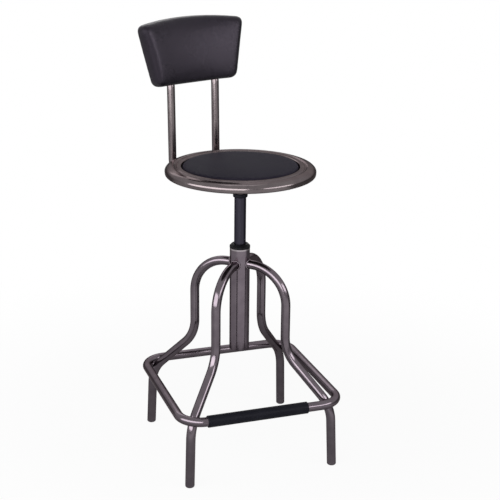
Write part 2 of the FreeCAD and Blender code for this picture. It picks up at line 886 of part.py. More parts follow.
def pad_section(place, roll_deg, inset):
    """Closed section of the cushion, from bottom to top.

    place runs from -1 to 1 between the rounded sides, and roll_deg from 0 to 90 follows a side to its rim.
    """
    fall = 1 - math.cos(math.radians(roll_deg))
    swing = math.sin(math.radians(roll_deg))
    edge = back_edge_round - inset
    corner = back_corner_round - inset
    half_thick = back_pad_thick / 2 - inset - edge * fall
    low = back_pad_bottom + inset + corner * fall
    bottom_half = (back_bottom_width / 2 - back_corner_round) * place + math.copysign(corner * swing, place)
    top_half = (back_top_width / 2 - back_corner_round) * place + math.copysign(corner * swing, place)
    arch = (back_centre_height - back_corner_height) * (top_half / (back_top_width / 2)) ** 2
    high = back_centre_height - arch - inset - corner * fall
    crown = (back_front_crown + (back_side_crown - back_front_crown) * place ** 2) * (1 - fall)
    radius = max(edge * (1 - fall), back_rim_round)
    nook = radius * (1 - math.sqrt(0.5))

    foot = on_curve(bottom_half, 0, back_pad_bottom)
    head = on_curve(top_half, 0, back_corner_height)
    angle = (bottom_half + top_half) / 2 / back_curve_radius
    outward = Vector(math.sin(angle), math.cos(angle), 0)

    def spot(depth, height):
        share = (height - back_pad_bottom) / (back_corner_height - back_pad_bottom)
        return foot + (head - foot) * share + outward * depth

    front = -half_thick
    rear = half_thick
    middle = (low + high) / 2
    edges = [
        Part.Arc(spot(front + radius, low), spot(front + nook, low + nook), spot(front, low + radius)),
        Part.Arc(spot(front, low + radius), spot(front - crown, middle), spot(front, high - radius)),
        Part.Arc(spot(front, high - radius), spot(front + nook, high - nook), spot(front + radius, high)),
        Part.LineSegment(spot(front + radius, high), spot(rear - radius, high)),
        Part.Arc(spot(rear - radius, high), spot(rear - nook, high - nook), spot(rear, high - radius)),
        Part.LineSegment(spot(rear, high - radius), spot(rear, low + radius)),
        Part.Arc(spot(rear, low + radius), spot(rear - nook, low + nook), spot(rear - radius, low)),
        Part.LineSegment(spot(rear - radius, low), spot(front + radius, low)),
    ]
    return Part.Wire([curve.toShape() for curve in edges])


def rounded_pad(inset):
    """Backrest cushion body with a swelling front and drawn-in sides, all sides in by the given amount."""
    middle = [pad_section(place, 0, inset) for place in back_section_places]
    body = Part.makeLoft(middle, True, False)
    for side in (-1.0, 1.0):
        rolls = [pad_section(side, roll_deg, inset) for roll_deg in back_roll_steps_deg]
        body = body.fuse(Part.makeLoft(rolls, True, False))
    return body.removeSplitter()


def back_board_solid():
    """Curved plywood board inside the backrest."""
    slab = curved_slab(board_rear_radius - back_board_thick, board_rear_radius)
    return slab.common(back_outline_prism(back_board_margin))


def back_screw_centres():
    """Local places of the backrest screws."""
    return [(side * back_tube_x, z) for side in (-1, 1) for z in back_screw_places]


def back_pieces():
    """Board, foam, cover and screws of the backrest, fitted round the back tubes."""
    screws = [back_placed(back_screw_shape(x, z)) for x, z in back_screw_centres()]
    bars = [back_bar(side, back_tube_od / 2) for side in (-1, 1)]
    caps = [plug for side in (-1, 1) for plug in tube_plug_shapes(side)[1:]]
    board = back_placed(back_board_solid())
    for screw in screws:
        board = board.cut(screw)
    inner = back_placed(rounded_pad(cover_sheet))
    foam = inner.cut(back_placed(back_board_solid()))
    for shape in bars + caps + screws:
        foam = foam.cut(shape)
    cover = back_placed(rounded_pad(0.0)).cut(inner)
    for bar in bars:
        cover = cover.cut(bar)
    return board, foam, cover, group(screws)


def base_nodes():
    """Every piece that stands still, turned under the seat."""
    leg = leg_shape()
    leg_solid = leg_bar(leg_od / 2)
    ring = ring_shape()
    ring_solid = ring_bar(ring_od / 2)
    turns = list(leg_directions_deg.values())
    nodes = {name: turned(leg, angle) for name, angle in leg_directions_deg.items()}
    nodes["column_tube"] = column_shape()
    nodes["column_foot_plate"] = column_foot_plate_shape()
    nodes["column_guide_bush"] = guide_bush_shape()
    nodes["leg_foot_caps"] = group([turned(foot_cap_shape(), angle) for angle in turns])
    nodes["leg_column_welds"] = group([turned(column_weld_shape(), angle) for angle in turns])
    nodes["footrest_ring"] = ring
    first_turn = turns[0]
    bead = ring_weld_shape(leg_solid, turned(ring_solid, -first_turn))
    nodes["leg_ring_welds"] = group([turned(bead, angle) for angle in turns])
    nodes["footrest_sleeve"] = sleeve_shape()
    nodes["lift_screw"] = lift_screw_shape()
    nodes["screw_base_washer"] = screw_washer_shape()
    nodes["screw_base_nut"] = screw_nut_shape()
    nodes["screw_stop_washer"] = stop_washer_shape()
    nodes["screw_stop_bolt"] = stop_bolt_shape()
    return {name: turned(shape, base_turn_deg) for name, shape in nodes.items()}


def seat_nodes():
    """Every piece that turns with the seat."""
    board, foam, cover, screws = back_pieces()
    return {
        "seat_post": seat_post_shape(),
        "lift_nut": lift_nut_shape(),
        "post_collar": post_collar_shape(),
        "seat_hub": seat_hub_shape(),
        "seat_mount_plate": seat_plate_shape(),
        "seat_pan": seat_pan_shape(),
        "seat_board": seat_board_shape(),
        "seat_foam": seat_foam_shape(),
        "seat_cover": seat_cover_shape(),
        "seat_board_inserts": group([moved(board_insert_shape(), x, y) for x, y in bolt_places()]),
        "seat_bolts": group([moved(seat_bolt_shape(), x, y) for x, y in bolt_places()]),
        "seat_bolt_washers": group([moved(bolt_washer_shape(), x, y) for x, y in bolt_places()]),
        "back_tube_left": back_tube_shape(-1),
        "back_tube_right": back_tube_shape(1),
        "back_tube_plugs": group([plug for side in (-1, 1) for plug in tube_plug_shapes(side)]),
        "back_tube_straps": group([strap_shape(side, y) for side in (-1, 1) for y in strap_places]),
        "strap_screws": group([moved(strap_screw_shape(), x, y) for x, y in strap_screw_places()]),
        "back_board": board,
        "back_foam": foam,
        "back_cover": cover,
        "back_screws": screws,
    }


def main():
    """Build every piece and write one file for each node."""
    os.makedirs("parts", exist_ok=True)
    nodes = base_nodes()
    nodes["post_guide_ring"] = guide_ring_shape()
    nodes.update(seat_nodes())
    for name, shape in nodes.items():
        solids = shape.Solids
        valid = all(solid.isValid() for solid in solids)
        print(f"{name}: {len(solids)} solids, volume {shape.Volume:.0f}, valid {valid}")
        shape.exportStep(f"parts/{name}.step")


main()
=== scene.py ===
import math

import bmesh
import bpy
import numpy as np
from mathutils import Matrix, Vector
from mathutils.bvhtree import BVHTree


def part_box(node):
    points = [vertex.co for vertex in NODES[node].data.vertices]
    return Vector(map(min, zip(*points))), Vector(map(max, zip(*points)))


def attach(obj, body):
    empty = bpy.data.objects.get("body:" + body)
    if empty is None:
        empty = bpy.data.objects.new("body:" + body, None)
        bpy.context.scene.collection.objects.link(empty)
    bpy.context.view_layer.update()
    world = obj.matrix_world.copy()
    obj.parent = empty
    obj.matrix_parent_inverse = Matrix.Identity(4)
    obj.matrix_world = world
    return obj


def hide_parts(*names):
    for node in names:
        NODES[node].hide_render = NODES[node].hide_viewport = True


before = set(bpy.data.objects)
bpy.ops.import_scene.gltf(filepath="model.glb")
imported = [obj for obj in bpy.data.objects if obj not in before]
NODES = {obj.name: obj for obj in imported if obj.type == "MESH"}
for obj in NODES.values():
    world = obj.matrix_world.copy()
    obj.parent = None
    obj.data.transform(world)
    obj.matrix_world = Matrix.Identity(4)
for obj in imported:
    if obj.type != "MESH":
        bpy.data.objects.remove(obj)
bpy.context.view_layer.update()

# Looks of a machinist stool: metal coats, vinyl cushions, weld beads and stitches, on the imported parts.
# Metres. The sitter faces -Y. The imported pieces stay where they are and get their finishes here.

MM = 0.001

# Camera of the photograph
CAMERA_AZIMUTH_DEG = -40.15
CAMERA_PITCH_DEG = 18.32
CAMERA_ROLL_DEG = 0.63
CAMERA_PLACE = Vector((-1.7195, -2.0759, 1.4027))
CAMERA_LENS_MM = 85.47
CAMERA_SENSOR_MM = 36.0

# Colours, as linear red, green and blue
PEWTER = (0.172, 0.147, 0.150, 1.0)
PEWTER_DARK = (0.136, 0.114, 0.120, 1.0)
LEG_PEWTER = (0.165, 0.140, 0.158, 1.0)
LEG_PEWTER_DARK = (0.128, 0.107, 0.124, 1.0)
COLUMN_PEWTER = (0.186, 0.156, 0.180, 1.0)
COLUMN_PEWTER_DARK = (0.146, 0.121, 0.142, 1.0)
# Lighter colour of the column's top edge: bare metal, and a painted highlight in place of the light its missing bevel
# would catch
COLUMN_EDGE_BARE_AND_HIGHLIGHT = (0.42, 0.38, 0.40, 1.0)
PEWTER_GRAZING = (0.56, 0.52, 0.52, 1.0)
POST_BLACK = (0.038, 0.035, 0.048, 1.0)
POST_RUBBED = (0.064, 0.060, 0.078, 1.0)
POST_GRAZING = (0.28, 0.26, 0.32, 1.0)
PLASTIC_BLACK = (0.003, 0.003, 0.004, 1.0)
PLASTIC_PALE = (0.006, 0.006, 0.008, 1.0)
RUBBER_BLACK = (0.006, 0.006, 0.010, 1.0)
RUBBER_DUSTY = (0.013, 0.013, 0.018, 1.0)
# Seat vinyl: a lighter, lit copy of the same vinyl, a painted sheen in place of the gloss it is denied
SEAT_VINYL_LIT_BLACK = (0.032, 0.028, 0.044, 1.0)
SEAT_VINYL_LIT_WORN = (0.046, 0.041, 0.061, 1.0)
# Backrest vinyl: a darker, shaded copy of the same vinyl, painted shade against the stronger lamp light it gets
BACK_VINYL_SHADED_BLACK = (0.007, 0.006, 0.010, 1.0)
BACK_VINYL_SHADED_WORN = (0.012, 0.010, 0.016, 1.0)
VINYL_GLOSS_TINT = (0.93, 0.80, 1.0, 1.0)
SEAM_BLACK = (0.006, 0.006, 0.007, 1.0)
THREAD_BLACK = (0.015, 0.014, 0.017, 1.0)
THREAD_PALE = (0.05, 0.048, 0.055, 1.0)
ZINC = (0.52, 0.53, 0.55, 1.0)
ZINC_DULL = (0.36, 0.37, 0.39, 1.0)
PLY_LIGHT = (0.56, 0.40, 0.23, 1.0)
PLY_DARK = (0.40, 0.26, 0.14, 1.0)
WHITE = (1.0, 1.0, 1.0, 1.0)
PAPER_WHITE = (0.82, 0.82, 0.82, 1.0)

# Finishes
COAT_ROUGHNESS = 0.17
LEG_COAT_ROUGHNESS = 0.145
SCUFF_HEIGHT = 50.0 * MM
# Band at the column's top edge: bare metal and a painted highlight
EDGE_BARE_AND_HIGHLIGHT_WIDTH = 4.0 * MM
EDGE_BARE_AND_HIGHLIGHT_FADE = 1.2 * MM
THREAD_PITCH = 6.0 * MM
VINYL_GRAIN = 1.15 * MM
SEAM_GAP = "seam_gap"
SEAM_GROOVE_REACH = 1.6 * MM
SEAT_VINYL_GLOSS = 0.02
SEAT_VINYL_ROUGHNESS = 0.48
BACK_VINYL_GLOSS = 0.36
BACK_VINYL_ROUGHNESS = 0.32

# Studio: light of the room, and how its walls look in reflections
ROOM_LIGHT = 0.13
ROOM_TOP_LIGHT = 0.82
ROOM_WALL_LIGHT = 0.62
ROOM_FAR_WALL_LIGHT = 0.14
ROOM_HEIGHT_FADE = (0.03, 0.38)

# Studio: the paper under the stool, how it looks in reflections, and where each of its tones fades
FLOOR_FAR_LIGHT = 0.25
# Painted shadow: in reflections the paper is dimmed round the stool, as if the stool shaded it
FLOOR_PAINTED_SHADOW_LIGHT = 0.40
FLOOR_PAINTED_SHADOW_FADE = (0.3, 1.0)
FLOOR_LEFT_LIGHT = 0.62
FLOOR_LEFT_FADE = (-0.3, 0.4)
FLOOR_SHADOW_PALE = 0.93
FLOOR_SHADOW_FADE = (0.3, 1.4)
FLOOR_HALF_SIDE = 14.0
FLOOR_DROP = 0.5 * MM
TOWARDS_RIGHT = (0.19, -0.98)
TOWARDS_CAMERA = (-0.87, -0.49)
FAR_FADE = (-0.6, 0.2)

# Cloth of both cushions
EVEN_ROUNDS = 60
CLOTH_STEPS = 20
QUARTER_ROUND_DEG = (0, 15, 30, 45, 60, 75, 90)

# Seat cushion
SEAT_AROUND = 72
SEAT_EDGE_ROUND = 6.0 * MM
SEAT_CROWN = 6.0 * MM
SEAT_TOP_SHRINK = 1.2 * MM
SEAT_FLOOR_LIFT = 0.4 * MM
SEAT_VOXEL = 4.0 * MM
SEAT_PUFF_CAP = 1.6 * MM

# Backrest cushion, with the same form as its packed cover
BACK_CURVE_RADIUS = 750.0 * MM
BACK_THICK = 40.0 * MM
BACK_TOP_WIDTH = 305.0 * MM
BACK_BOTTOM_WIDTH = 240.0 * MM
BACK_CENTRE_HEIGHT = 159.5 * MM
BACK_CORNER_HEIGHT = 144.5 * MM
BACK_LOW = 3.0 * MM
BACK_CORNER_ROUND = 17.0 * MM
BACK_EDGE_ROUND = 14.0 * MM
BACK_LEAST_ROUND = 1.0 * MM
BACK_CROWN = 4.0 * MM
BACK_LEAN = math.radians(9.2)
BACK_HALF_SECTIONS = 14
BACK_SIDE_ROLLS_DEG = (84, 70, 55, 40, 25, 12)
BACK_UNSEAMED_SECTIONS = 4
BACK_FRONT_SHARES = (0.12, 0.25, 0.4, 0.5, 0.6, 0.75, 0.88)
BACK_VOXEL = 4.0 * MM
BACK_PUFF_CAP = 3.0 * MM
BACK_SHRINK = 1.2 * MM
BACK_HELD_DEPTH = 6.0 * MM
STITCH_LENGTH = 3.0 * MM
STITCH_SPACING = 4.4 * MM
STITCH_RADIUS = 0.42 * MM
STITCH_FROM_SEAM = 4.0 * MM
STITCH_LIFT = 0.15 * MM

# Column, and the legs' weld beads on it
LEG_TUBE_RADIUS = 11.1 * MM
COLUMN_RADIUS = 24.15 * MM
COLUMN_TOP_HEIGHT = 517.0 * MM
LEG_TOP_HEIGHT = 478.0 * MM
LEG_DIRECTIONS_DEG = (204.0, 114.0, 24.0, 294.0)
BEAD_LINE_POINTS = 48
BEAD_RADIUS = 2.3 * MM
BEAD_LENGTH = 3.4 * MM
BEAD_SPACING = 1.5 * MM
BEAD_LIFT = 0.6 * MM


class Field:
    """A socket of a shader tree, on which sums and products add their Math nodes."""

    def __init__(self, shader, socket):
        self.shader = shader
        self.socket = socket

    def other(self, output):
        """Another output of the same node."""
        return Field(self.shader, self.socket.node.outputs[output])

    def __add__(self, other):
        return self.shader.math("ADD", self, other)

    def __radd__(self, other):
        return self.shader.math("ADD", other, self)

    def __sub__(self, other):
        return self.shader.math("SUBTRACT", self, other)

    def __rsub__(self, other):
        return self.shader.math("SUBTRACT", other, self)

    def __mul__(self, other):
        return self.shader.math("MULTIPLY", self, other)

    def __rmul__(self, other):
        return self.shader.math("MULTIPLY", other, self)


class Shader:
    """A new material, or the room round the stool, and the nodes that are added to it."""

    def __init__(self, name, room=None):
        self.material = room or bpy.data.materials.new(name)
        self.material.use_nodes = True
        self.tree = self.material.node_tree
        self.tree.nodes.clear()

    def node(self, kind, settings=None, inputs=None, output=0):
        """Adds a node and gives one of its outputs."""
        inputs = {key: value.socket if isinstance(value, Field) else value for key, value in (inputs or {}).items()}
        made = add_node(self.tree, kind, settings or {}, inputs)
        return Field(self, made.outputs[output]) if made.outputs else None

    def math(self, operation, first, second=0.0):
        return self.node("ShaderNodeMath", {"operation": operation}, {0: first, 1: second})

    def place(self):
        """Place on the stool, in metres."""
        return self.node("ShaderNodeTexCoord", output="Object")

    def rays(self, *kinds):
        """Masks that are 1 on rays of the given kinds."""
        path = self.node("ShaderNodeLightPath")
        return [path.other(f"Is {kind} Ray") for kind in kinds]

    def parts(self, vector):
        """The three numbers of a vector."""
        made = self.node("ShaderNodeSeparateXYZ", inputs={0: vector})
        return [made.other(k) for k in range(3)]

    def vector(self, x, y, z):
        return self.node("ShaderNodeCombineXYZ", inputs={0: x, 1: y, 2: z})

    def noise(self, vector, scale, detail=2.0, roughness=0.5):
        """Soft noise of about scale blobs to the metre."""
        inputs = {"Vector": vector, "Scale": scale, "Detail": detail, "Roughness": roughness}
        return self.node("ShaderNodeTexNoise", inputs=inputs)

    def cells(self, vector, scale, feature="F1"):
        """Random cells, about scale of them to the metre."""
        return self.node("ShaderNodeTexVoronoi", {"feature": feature}, {"Vector": vector, "Scale": scale})

    def smooth_step(self, value, low, high, before, after):
        """A value's soft step from one level to another, between two limits."""
        levels = {0: value, 1: low, 2: high, 3: before, 4: after}
        return self.node("ShaderNodeMapRange", {"interpolation_type": "SMOOTHSTEP"}, levels)

    def ramp(self, factor, stops):
        """Greys that follow a value, with stops as (position, grey) pairs."""
        made = self.node("ShaderNodeValToRGB", inputs={0: factor})
        elements = made.socket.node.color_ramp.elements
        while len(elements) < len(stops):
            elements.new(0.5)
        for element, (position, grey) in zip(elements, stops):
            element.position = position
            element.color = (grey, grey, grey, 1.0)
        return made

    def mix(self, factor, first, second):
        """Mix of two colours."""
        return self.node("ShaderNodeMix", {"data_type": "RGBA"}, {0: factor, 6: first, 7: second}, output=2)

    def bump(self, height, strength, distance, normal=None):
        """Normal of a relief whose height 1 stands for a distance in metres."""
        inputs = {"Height": height, "Strength": strength, "Distance": distance}
        if normal:
            inputs["Normal"] = normal
        return self.node("ShaderNodeBump", inputs=inputs)

    def finish(self, **sockets):
        """Closes the tree with its surface shader and gives the material."""
        names = {key.replace("_", " "): value for key, value in sockets.items()}
        surface = self.node("ShaderNodeBsdfPrincipled", inputs=names)
        self.node("ShaderNodeOutputMaterial", inputs={"Surface": surface})
        return self.material


def add_node(tree, kind, settings, inputs):
    """Adds a node to a tree: its settings first, then the values or links of its sockets."""
    made = tree.nodes.new(kind)
    for key, value in settings.items():
        setattr(made, key, value)
    for key, value in inputs.items():
        if isinstance(value, bpy.types.NodeSocket):
            tree.links.new(value, made.inputs[key])
        else:
            made.inputs[key].default_value = value
    return made


def scaled(colour, factor):
    """A colour made lighter or darker."""
    return (*(factor * part for part in colour[:3]), 1.0)


def pewter_coat(name, light, dark, roughness, scuff_height=0.0, bare_and_highlight_above=0.0):
    """Pewter coloured metallic coat with fine flakes and a faint orange peel; if asked, scuffed low, and if asked,
    lighter above a height: bare metal with a painted highlight.
    """
    shader = Shader(name)
    place = shader.place()
    flakes = shader.cells(place, 2600.0)
    cloud = shader.noise(place, 38.0, 3.0, 0.6)
    coat = shader.mix(shader.ramp(cloud, [(0.32, 0.0), (0.70, 1.0)]), dark, light)
    sparkle = shader.node("ShaderNodeSeparateColor", inputs={0: flakes.other("Color")})
    colour = shader.mix(shader.ramp(sparkle, [(0.80, 0.0), (0.98, 0.12)]), coat, scaled(light, 1.5))
    rough = roughness + 0.06 * (cloud - 0.5)
    if scuff_height > 0:
        height = shader.parts(place)[2]
        low = shader.node("ShaderNodeMapRange", inputs={0: height, 1: 0.0, 2: scuff_height, 3: 1.0, 4: 0.0})
        scuff = low * shader.ramp(shader.noise(place, 420.0, 5.0, 0.7), [(0.56, 0.0), (0.66, 1.0)])
        colour = shader.mix(scuff * 0.7, colour, scaled(light, 1.6))
        rough = rough + 0.2 * scuff
    if bare_and_highlight_above > 0:
        height = shader.parts(place)[2]
        # Painted highlight: the top band is lighter, as bare metal and as the light a bevelled edge would catch
        bare_and_highlight = shader.smooth_step(height, bare_and_highlight_above, bare_and_highlight_above + EDGE_BARE_AND_HIGHLIGHT_FADE, 0.0, 0.9)
        colour = shader.mix(bare_and_highlight, colour, COLUMN_EDGE_BARE_AND_HIGHLIGHT)
    peel = shader.noise(place, 300.0, 2.0)
    return shader.finish(
        Base_Color=colour,
        Metallic=1.0,
        Roughness=rough,
        Normal=shader.bump(peel, 0.01, 0.0002),
        Specular_Tint=PEWTER_GRAZING,
    )


def post_paint():
    """Satin black of the sliding post, with fine rub marks along it."""
    shader = Shader("post_satin_black")
    place = shader.place()
    x, y, z = shader.parts(place)
    rubs = shader.noise(shader.vector(x * 700.0, y * 700.0, z * 22.0), 1.0, 4.0, 0.6)
    marks = shader.ramp(rubs, [(0.56, 0.0), (0.74, 1.0)])
    return shader.finish(
        Base_Color=shader.mix(marks * 0.5, POST_BLACK, POST_RUBBED),
        Roughness=0.27 + 0.12 * marks + 0.06 * shader.noise(place, 60.0),
        Normal=shader.bump(rubs, 0.08, 0.0003),
        Metallic=1.0,
        Specular_Tint=POST_GRAZING,
    )


def moulded_plastic():
    """Black moulded plastic with a fine matt grain."""
    shader = Shader("moulded_black_plastic")
    place = shader.place()
    grain = shader.noise(place, 1800.0, 3.0, 0.6)
    cloud = shader.noise(place, 90.0, 2.0)
    return shader.finish(
        Base_Color=shader.mix(shader.ramp(cloud, [(0.4, 0.0), (0.7, 1.0)]), PLASTIC_BLACK, PLASTIC_PALE),
        Roughness=0.38 + 0.14 * cloud,
        Normal=shader.bump(grain, 0.22, 0.0003),
        Specular_IOR_Level=0.12,
    )


def grip_rubber():
    """Soft black rubber of the grip sleeve and the collar, slightly dusty."""
    shader = Shader("grip_rubber")
    place = shader.place()
    grain = shader.noise(place, 1100.0, 4.0, 0.65)
    dust = shader.ramp(shader.noise(place, 26.0, 4.0, 0.6), [(0.42, 0.0), (0.78, 1.0)])
    return shader.finish(
        Base_Color=shader.mix(dust * 0.6, RUBBER_BLACK, RUBBER_DUSTY),
        Roughness=0.42 + 0.14 * dust,
        Normal=shader.bump(grain, 0.20, 0.0005),
        Specular_IOR_Level=0.09,
    )


def vinyl_grain(shader, place, size):
    """Height of an embossed vinyl grain: rounded pebbles of the given size between fine creases."""
    warp = shader.noise(place, 0.45 / size, 2.0)
    shifted = shader.node(
        "ShaderNodeVectorMath",
        {"operation": "MULTIPLY_ADD"},
        {0: warp.other("Color"), 1: (size * 0.9,) * 3, 2: place},
    )
    crease = shader.cells(shifted, 1.0 / size, "DISTANCE_TO_EDGE")
    pebble = shader.ramp(crease, [(0.0, 0.0), (0.16, 0.75), (0.5, 1.0)])
    pores = shader.noise(shifted, 3.1 / size, 2.0)
    return pebble + 0.25 * pores


def vinyl(name, black, worn, gloss, roughness, seam_attribute=None):
    """Black upholstery vinyl with a fine grain and painted shade in its creases, and a sewn groove where the piece
    stores its seam.
    """
    shader = Shader(name)
    place = shader.place()
    grain = vinyl_grain(shader, place, VINYL_GRAIN)
    cloud = shader.noise(place, 14.0, 4.0, 0.55)
    sheen_spots = shader.ramp(cloud, [(0.34, 0.0), (0.72, 1.0)])
    # Painted shade: the grain's creases are darkened towards half the black
    grain_crease_shade = shader.ramp(grain, [(0.15, 0.72), (0.70, 1.0)])
    colour = shader.mix(sheen_spots, black, worn)
    colour = shader.mix(1.0 - grain_crease_shade, colour, scaled(black, 0.5))
    rough = roughness + 0.08 * (sheen_spots - 0.5) - 0.04 * grain
    normal = shader.bump(grain, 0.30, 0.00022)
    if seam_attribute:
        gap = shader.node("ShaderNodeAttribute", {"attribute_name": seam_attribute}, output="Fac")
        groove = shader.smooth_step(gap, 0.0, SEAM_GROOVE_REACH, 0.0, 1.0)
        normal = shader.bump(groove, 0.9, 0.0010, normal)
        colour = shader.mix(groove, SEAM_BLACK, colour)
    return shader.finish(
        Base_Color=colour,
        Roughness=rough,
        Normal=normal,
        Specular_IOR_Level=gloss,
        Specular_Tint=VINYL_GLOSS_TINT,
    )


def zinc_plate(name, thread_pitch=0.0):
    """Zinc plated steel, clouded and lightly scratched, with a thread round the column axis if asked."""
    shader = Shader(name)
    place = shader.place()
    cloud = shader.noise(place, 140.0, 4.0, 0.6)
    colour = shader.mix(shader.ramp(cloud, [(0.35, 0.0), (0.68, 1.0)]), ZINC_DULL, ZINC)
    stretched = shader.node("ShaderNodeMapping", inputs={0: place, "Scale": (3000.0, 120.0, 120.0)})
    height = 0.4 * shader.noise(stretched, 1.0)
    if thread_pitch > 0:
        x, y, z = shader.parts(place)
        turn = shader.math("ARCTAN2", y, x)
        height = height + 6.0 * shader.math("SINE", turn - z * (2 * math.pi / thread_pitch))
    return shader.finish(
        Base_Color=colour,
        Metallic=1.0,
        Roughness=0.28 + 0.18 * cloud,
        Normal=shader.bump(height, 0.35, 0.0004),
    )


def plywood():
    """Birch plywood: a streaky grain, long along x, on its faces and through its thickness."""
    shader = Shader("plywood")
    x, y, z = shader.parts(shader.place())
    grain = shader.noise(shader.vector(x * 12.0, y * 160.0, z * 160.0), 1.0, 5.0, 0.6)
    colour = shader.mix(shader.ramp(grain, [(0.38, 0.0), (0.66, 1.0)]), PLY_DARK, PLY_LIGHT)
    return shader.finish(Base_Color=colour, Roughness=0.55 + 0.2 * grain, Normal=shader.bump(grain, 0.3, 0.0004))


def dark_thread():
    """Twisted black sewing thread."""
    shader = Shader("sewing_thread")
    twist = shader.noise(shader.place(), 2600.0, 3.0)
    colour = shader.mix(twist, THREAD_BLACK, THREAD_PALE)
    return shader.finish(Base_Color=colour, Roughness=0.5 + 0.3 * twist, Normal=shader.bump(twist, 0.5, 0.0002))


def cover(mesh, material):
    """Gives a mesh one material."""
    mesh.materials.clear()
    mesh.materials.append(material)


def paint(material, *names):
    """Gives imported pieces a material."""
    for name in names:
        cover(NODES[name].data, material)


def shade_smooth(mesh):
    """Lets a mesh look round over its faces."""
    for polygon in mesh.polygons:
        polygon.use_smooth = True


def new_piece(name, mesh, material):
    """A new object that holds a mesh, at the origin."""
    piece = bpy.data.objects.new(name, mesh)
    bpy.context.scene.collection.objects.link(piece)
    cover(mesh, material)
    shade_smooth(mesh)
    return piece


def mesh_from(name, vertices, faces):
    """A closed mesh with its faces turned outwards."""
    mesh = bpy.data.meshes.new(name)
    mesh.from_pydata(vertices, [], faces)
    work = bmesh.new()
    work.from_mesh(mesh)
    bmesh.ops.remove_doubles(work, verts=work.verts, dist=1e-6)
    bmesh.ops.recalc_face_normals(work, faces=work.faces)
    work.to_mesh(mesh)
    work.free()
    return mesh


def faces_between(rings, around):
    """Faces between neighbouring rings that have the same number of points."""
    faces = []
    for start in range(0, (rings - 1) * around, around):
        for k in range(around):
            following = (k + 1) % around
            faces.append((start + k, start + following, start + around + following, start + around + k))
    return faces


def plain_mesh(piece):
    """The mesh that a piece and its modifiers make together."""
    bpy.context.view_layer.update()
    graph = bpy.context.evaluated_depsgraph_get()
    return bpy.data.meshes.new_from_object(piece.evaluated_get(graph), depsgraph=graph)


def flatten(piece):
    """Turns a piece and its modifiers into a plain mesh."""
    mesh = plain_mesh(piece)
    old = piece.data
    piece.modifiers.clear()
    piece.data = mesh
    bpy.data.meshes.remove(old)


def add_modifier(piece, kind, **settings):
    """Adds a modifier with its settings."""
    modifier = piece.modifiers.new(kind.title(), kind)
    for key, value in settings.items():
        setattr(modifier, key, value)
    return modifier


def evened(piece, moves, rounds):
    """Moves of a cushion's points, each averaged with its neighbours' again and again, so that no lump stays."""
    edges = np.array([edge.vertices[:] for edge in piece.data.edges])
    counts = np.bincount(edges.ravel(), minlength=len(moves))[:, None]
    for _ in range(rounds):
        total = np.zeros_like(moves)
        np.add.at(total, edges[:, 0], moves[edges[:, 1]])
        np.add.at(total, edges[:, 1], moves[edges[:, 0]])
        moves = 0.5 * moves + 0.5 * total / counts
    return moves


def blow_up(piece, held):
    """Blows a piece up as cloth under pressure; held says how firmly each point stays, from 0 to 1."""
    pins = piece.vertex_groups.new(name="pins")
    for vertex in piece.data.vertices:
        pins.add([vertex.index], held(vertex.co), "REPLACE")
    cloth = add_modifier(piece, "CLOTH")
    cloth.settings.quality = 6
    cloth.settings.mass = 0.3
    cloth.settings.tension_stiffness = 15.0
    cloth.settings.compression_stiffness = 15.0
    cloth.settings.bending_stiffness = 1.5
    cloth.settings.use_pressure = True
    cloth.settings.uniform_pressure_force = 4.0
    cloth.settings.vertex_group_mass = "pins"
    cloth.settings.effector_weights.gravity = 0.0
    cloth.collision_settings.use_collision = False
    for step in range(1, CLOTH_STEPS + 1):
        bpy.context.scene.frame_set(step)
    flatten(piece)
    bpy.context.scene.frame_set(1)
    piece.vertex_groups.clear()


def puff(piece, voxel, cap, held):
    """Evens a cushion's mesh and swells it as cloth, with no point moved further than the cap."""
    add_modifier(piece, "REMESH", mode="VOXEL", voxel_size=voxel, use_smooth_shade=True)
    flatten(piece)
    add_modifier(piece, "SMOOTH", factor=0.5, iterations=3)
    flatten(piece)
    rest = [vertex.co.copy() for vertex in piece.data.vertices]
    blow_up(piece, held)
    moves = np.array([vertex.co - start for vertex, start in zip(piece.data.vertices, rest)])
    moves = evened(piece, moves, EVEN_ROUNDS)
    moves *= cap / (cap + np.linalg.norm(moves, axis=1, keepdims=True))
    for vertex, start, move in zip(piece.data.vertices, rest, moves):
        vertex.co = start + Vector(move)
    add_modifier(piece, "SUBSURF", levels=1, render_levels=1)
    flatten(piece)
    shade_smooth(piece.data)


def fill_cover(piece, packed):
    """Stretches a cushion by a millimetre or two, so that it is as wide and as high as its packed cover."""
    low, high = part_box(packed)
    points = [vertex.co for vertex in piece.data.vertices]
    for axis in (0, 2):
        least = min(point[axis] for point in points)
        most = max(point[axis] for point in points)
        for point in points:
            point[axis] = low[axis] + (point[axis] - least) * (high[axis] - low[axis]) / (most - least)


